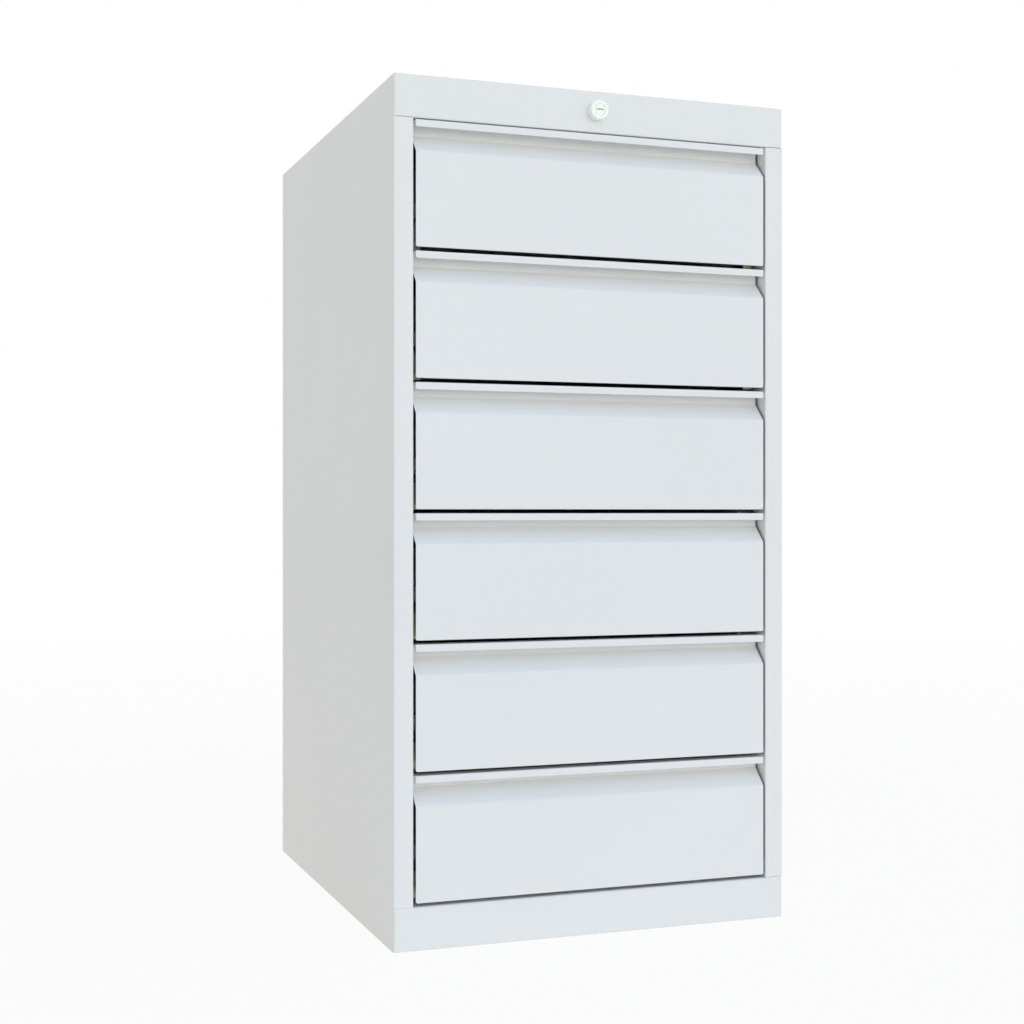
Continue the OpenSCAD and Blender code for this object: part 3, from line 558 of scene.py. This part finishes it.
def makeDrawerFront(node):
    # One sheet: hem, face, bevel, recess wall, top flange and lip, narrower where its corners are rounded.
    # At mid-sheet the bevel's lower fold lies half * tan(pi / 8) higher than on the sheet's rear side.
    low, high = (np.array(corner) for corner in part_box(node))
    half, cornerRadius, lipRadius = sheet["half"], drawerFront["cornerRadius"], drawerFront["lipRadius"]
    foot = high[2] - drawerFront["gripHeight"] + half * math.tan(math.pi / 8)
    face, hem = low[1] + half, low[1] + half + drawerFront["hemRoom"]
    wall, wallFoot = face + drawerFront["gripDepth"], foot + drawerFront["gripDepth"]
    lipZ, footZ, topFlangeZ = high[2] - drawerFront["lip"], low[2] + half, high[2] - half
    corners = [(hem, low[2] + drawerFront["hem"]), (hem, footZ), (face, footZ), (face, foot)]
    corners += [(wall, wallFoot), (wall, topFlangeZ), (face, topFlangeZ), (face, lipZ)]

    def extent(y, z):
        inFoot = np.clip(footZ + cornerRadius - z, 0, cornerRadius)
        onLip = (y < face + half) & (z > lipZ - drawerFront["lipMargin"])
        inLip = np.where(onLip, np.clip(lipZ + lipRadius - z, 0, lipRadius), 0)
        short = shortfall(inFoot, cornerRadius) + shortfall(inLip, lipRadius)
        return low[0] + short, high[0] - short

    points = foldedSheet(corners, drawerFront["folds"], extent, acrossX, drawerFront["edge"],
                         drawerFront["straightSteps"])
    surface(node.replace("front_", "front_sheet_"), points, node)


for front in sorted(drawerFronts):
    makeDrawerFront(front)
print("drawer fronts folded")


lock = {
    "radius": 11.5 * mm, "out": 12 * mm, "rim": 2 * mm, "bore": 7.05 * mm, "chamfer": 0.4 * mm,  # the head
    "barrel": 9 * mm, "flat": 8 * mm, "length": 30 * mm,  # behind the front
    "thread": 0.25 * mm, "pitch": 1 * mm, "threadEnd": 0.5 * mm,
    "tailOuter": 0.7 * mm, "tailInner": 0.3 * mm,  # chamfers at the barrel's rear end
    "turnSteps": 96, "rimPoints": 9, "threadPoints": 160,
}


def makeLockBarrel():
    # A lathe's surface: each row is a radius and a distance out of the front, carried round the lock's axis.
    # The thread's radius is barrel - thread * (1 - cos(2 pi * depth / pitch)) / 2. Behind the front each
    # radius is at most flat / |sin|, so the thread runs out on the two flats.
    radius, out, rim, bore, chamfer = (lock[key] for key in ("radius", "out", "rim", "bore", "chamfer"))
    barrel, tail, tailInner = lock["barrel"], -lock["length"], lock["tailInner"]
    a = np.linspace(0, np.pi / 2, lock["rimPoints"])
    rimArc = np.stack([radius - rim * (1 - np.sin(a)), out - rim * (1 - np.cos(a))], 1)
    depth = np.linspace(0, lock["length"] - lock["threadEnd"], lock["threadPoints"])
    wave = barrel - lock["thread"] * (1 - np.cos(2 * np.pi * depth / lock["pitch"])) / 2
    profile = np.vstack([
        [(bore, out - chamfer), (bore + chamfer, out)], rimArc, [(radius, chamfer), (radius - chamfer, 0)],
        np.stack([wave, -depth], 1),
        [(barrel - lock["tailOuter"], tail), (bore + tailInner, tail), (bore, tail + tailInner)],
    ])
    angle = np.linspace(0, 2 * np.pi, lock["turnSteps"] + 1)[:-1]
    wide, far = profile[:, :1], profile[:, 1:]
    head = (far > -tiny) & (wide > barrel + tiny)
    flattened = np.minimum(wide, lock["flat"] / np.maximum(abs(np.sin(angle)), tiny))
    reach = np.where(head, wide, flattened)
    y = np.broadcast_to(frontY - far, reach.shape)
    points = np.stack([lockX + reach * np.cos(angle), y, lockZ + reach * np.sin(angle)], -1)
    surface("lock_barrel_turned", points, "lock_barrel", True, mesher["turnedCrease"])


plug = {"faceOut": 11.4 * mm, "keyWidth": 11 * mm, "keyHeight": 2.2 * mm, "margin": 0.1 * mm}


def makeLockPlug():
    # The plug's own mesh, its doubles merged. Faces whose middle lies inside the keyway's outline, behind the
    # plug's face, are brass.
    mesh = frame["nodes"]["lock_plug"].data.copy()
    shape = bmesh.new()
    shape.from_mesh(mesh)
    bmesh.ops.remove_doubles(shape, verts=shape.verts, dist=mesher["merge"])
    shape.to_mesh(mesh)
    shape.free()
    dress("lock_plug_keyed", mesh, "lock_plug")
    mesh.materials.append(finishes["brass"])
    middles = np.zeros(len(mesh.polygons) * 3)
    mesh.polygons.foreach_get("center", middles)
    x, y, z = middles.reshape(-1, 3).T
    keyed = abs(x - lockX) < plug["keyWidth"] / 2 + plug["margin"]
    keyed &= abs(z - lockZ) < plug["keyHeight"] / 2 + plug["margin"]
    keyed &= y > frontY - plug["faceOut"] + plug["margin"]
    mesh.polygons.foreach_set("material_index", keyed.astype(int))


makeLockBarrel()
makeLockPlug()
print("lock turned")


stage = {
    "radius": 14.0, "steps": 96, "colour": (0.96, 0.92, 0.86), "roughness": 0.9,
    "white": 0.90, "fade": (1.0, 5.0),  # how white it is seen at the middle, and where that grows to full
    "glow": 0.22, "glowFade": (0.3, 1.8),  # what it gives off at the middle, and where that falls to none
}


def reckon(nodes, links, operation, first, second):
    # One sum on two numbers; either may come from another node
    node = nodes.new("ShaderNodeMath")
    node.operation = operation
    for socket, value in zip(node.inputs, (first, second)):
        if isinstance(value, bpy.types.NodeSocket):
            links.new(value, socket)
        else:
            socket.default_value = value
    return node.outputs["Value"]


def seenRays(nodes, links):
    # 1 for camera, glossy and transmission rays: they see plain white where light falls in another tone
    rays = nodes.new("ShaderNodeLightPath").outputs
    seen = rays["Is Camera Ray"]
    for kind in ("Is Glossy Ray", "Is Transmission Ray"):
        seen = reckon(nodes, links, "MAXIMUM", seen, rays[kind])
    return seen


def blend(nodes, links, amount, first, second, output):
    # first * (1 - amount) + second * amount, led to the output
    mix = nodes.new("ShaderNodeMixShader")
    for socket, value in zip(mix.inputs, (amount, first, second)):
        links.new(value, socket)
    links.new(mix.outputs["Shader"], output.inputs["Surface"])


def makeFloor():
    # A plain disc. To the camera and in reflections it is mostly plain white, wholly so far out; what is left
    # of its own shading keeps the cabinet's shadow. Near the cabinet it adds a little glow to the light that
    # it throws back.
    angle = np.linspace(0, 2 * np.pi, stage["steps"] + 1)[:-1]
    rim = np.stack([np.cos(angle), np.sin(angle), np.zeros_like(angle)], 1) * stage["radius"]
    mesh = bpy.data.meshes.new("floor")
    mesh.from_pydata(rim.tolist(), [], [list(range(len(rim)))])
    floor = bpy.data.objects.new("floor", mesh)
    bpy.context.scene.collection.objects.link(floor)
    material, nodes, links, shader = shaderNodes("pale floor")
    shader.inputs["Base Color"].default_value = (*stage["colour"], 1)
    shader.inputs["Roughness"].default_value = stage["roughness"]
    white = nodes.new("ShaderNodeEmission").outputs["Emission"]
    far = nodes.new("ShaderNodeVectorMath")
    far.operation = "LENGTH"
    links.new(objectPlace(nodes), far.inputs[0])
    away = far.outputs["Value"]
    whiteness = spread(nodes, links, away, *stage["fade"], stage["white"], 1)
    glow = spread(nodes, links, away, *stage["glowFade"], stage["glow"], 0)
    seenWhite = reckon(nodes, links, "MULTIPLY", seenRays(nodes, links), whiteness)
    amount = reckon(nodes, links, "MAXIMUM", seenWhite, glow)
    blend(nodes, links, amount, shader.outputs["BSDF"], white, nodes["Material Output"])
    mesh.materials.append(material)


sky = {
    "even": (0.594, 0.577, 0.526),  # the same from every side
    "lobes": (  # way it comes from, how narrow it is, colour
        ((0.15, -0.98, -0.12), 12, (2.14, 1.89, 1.28)),  # warm and level, from the front
        ((0.30, -0.65, 0.70), 6, (0.0, 0.24, 0.72)),  # cool, from above the front
    ),
}


def makeWorld():
    # Light in the direction d: even + sum of colour * ((d . way + 1) / 2) ^ narrowness over the lobes. The
    # camera and reflections see plain white instead.
    world = bpy.data.worlds.new("studio")
    world.use_nodes = True
    bpy.context.scene.world = world
    nodes, links = world.node_tree.nodes, world.node_tree.links
    seenWay = nodes.new("ShaderNodeTexCoord").outputs["Generated"]
    even = nodes.new("ShaderNodeCombineXYZ")
    for axis, amount in zip("XYZ", sky["even"]):
        even.inputs[axis].default_value = amount
    total = even.outputs["Vector"]
    for way, narrowness, colour in sky["lobes"]:
        along = nodes.new("ShaderNodeVectorMath")
        along.operation = "DOT_PRODUCT"
        along.inputs[1].default_value = way
        links.new(seenWay, along.inputs[0])
        share = spread(nodes, links, along.outputs["Value"], -1, 1, 0, 1)
        part = nodes.new("ShaderNodeVectorMath")
        part.operation = "MULTIPLY_ADD"
        links.new(reckon(nodes, links, "POWER", share, narrowness), part.inputs[0])
        part.inputs[1].default_value = colour
        links.new(total, part.inputs[2])
        total = part.outputs["Vector"]
    light = nodes["Background"]
    links.new(total, light.inputs["Color"])
    white = nodes.new("ShaderNodeBackground")
    white.inputs["Color"].default_value = (1, 1, 1, 1)
    outputs = light.outputs["Background"], white.outputs["Background"]
    blend(nodes, links, seenRays(nodes, links), *outputs, nodes["World Output"])


camera = {"place": (-0.7582, -2.0918, 0.5009), "turn": -0.347978, "lens": 57.697, "sensor": 36.0}


def makeCamera():
    # The camera looks level, so uprights stay parallel
    data = bpy.data.cameras.new("camera")
    data.lens, data.sensor_width, data.sensor_fit = camera["lens"], camera["sensor"], "HORIZONTAL"
    eye = bpy.data.objects.new("camera", data)
    bpy.context.scene.collection.objects.link(eye)
    eye.location = camera["place"]
    eye.rotation_euler = (math.pi / 2, 0, camera["turn"])
    bpy.context.scene.camera = eye


makeFloor()
makeWorld()
makeCamera()
bpy.context.scene.view_settings.view_transform = "Standard"
print("stage, light and camera made")
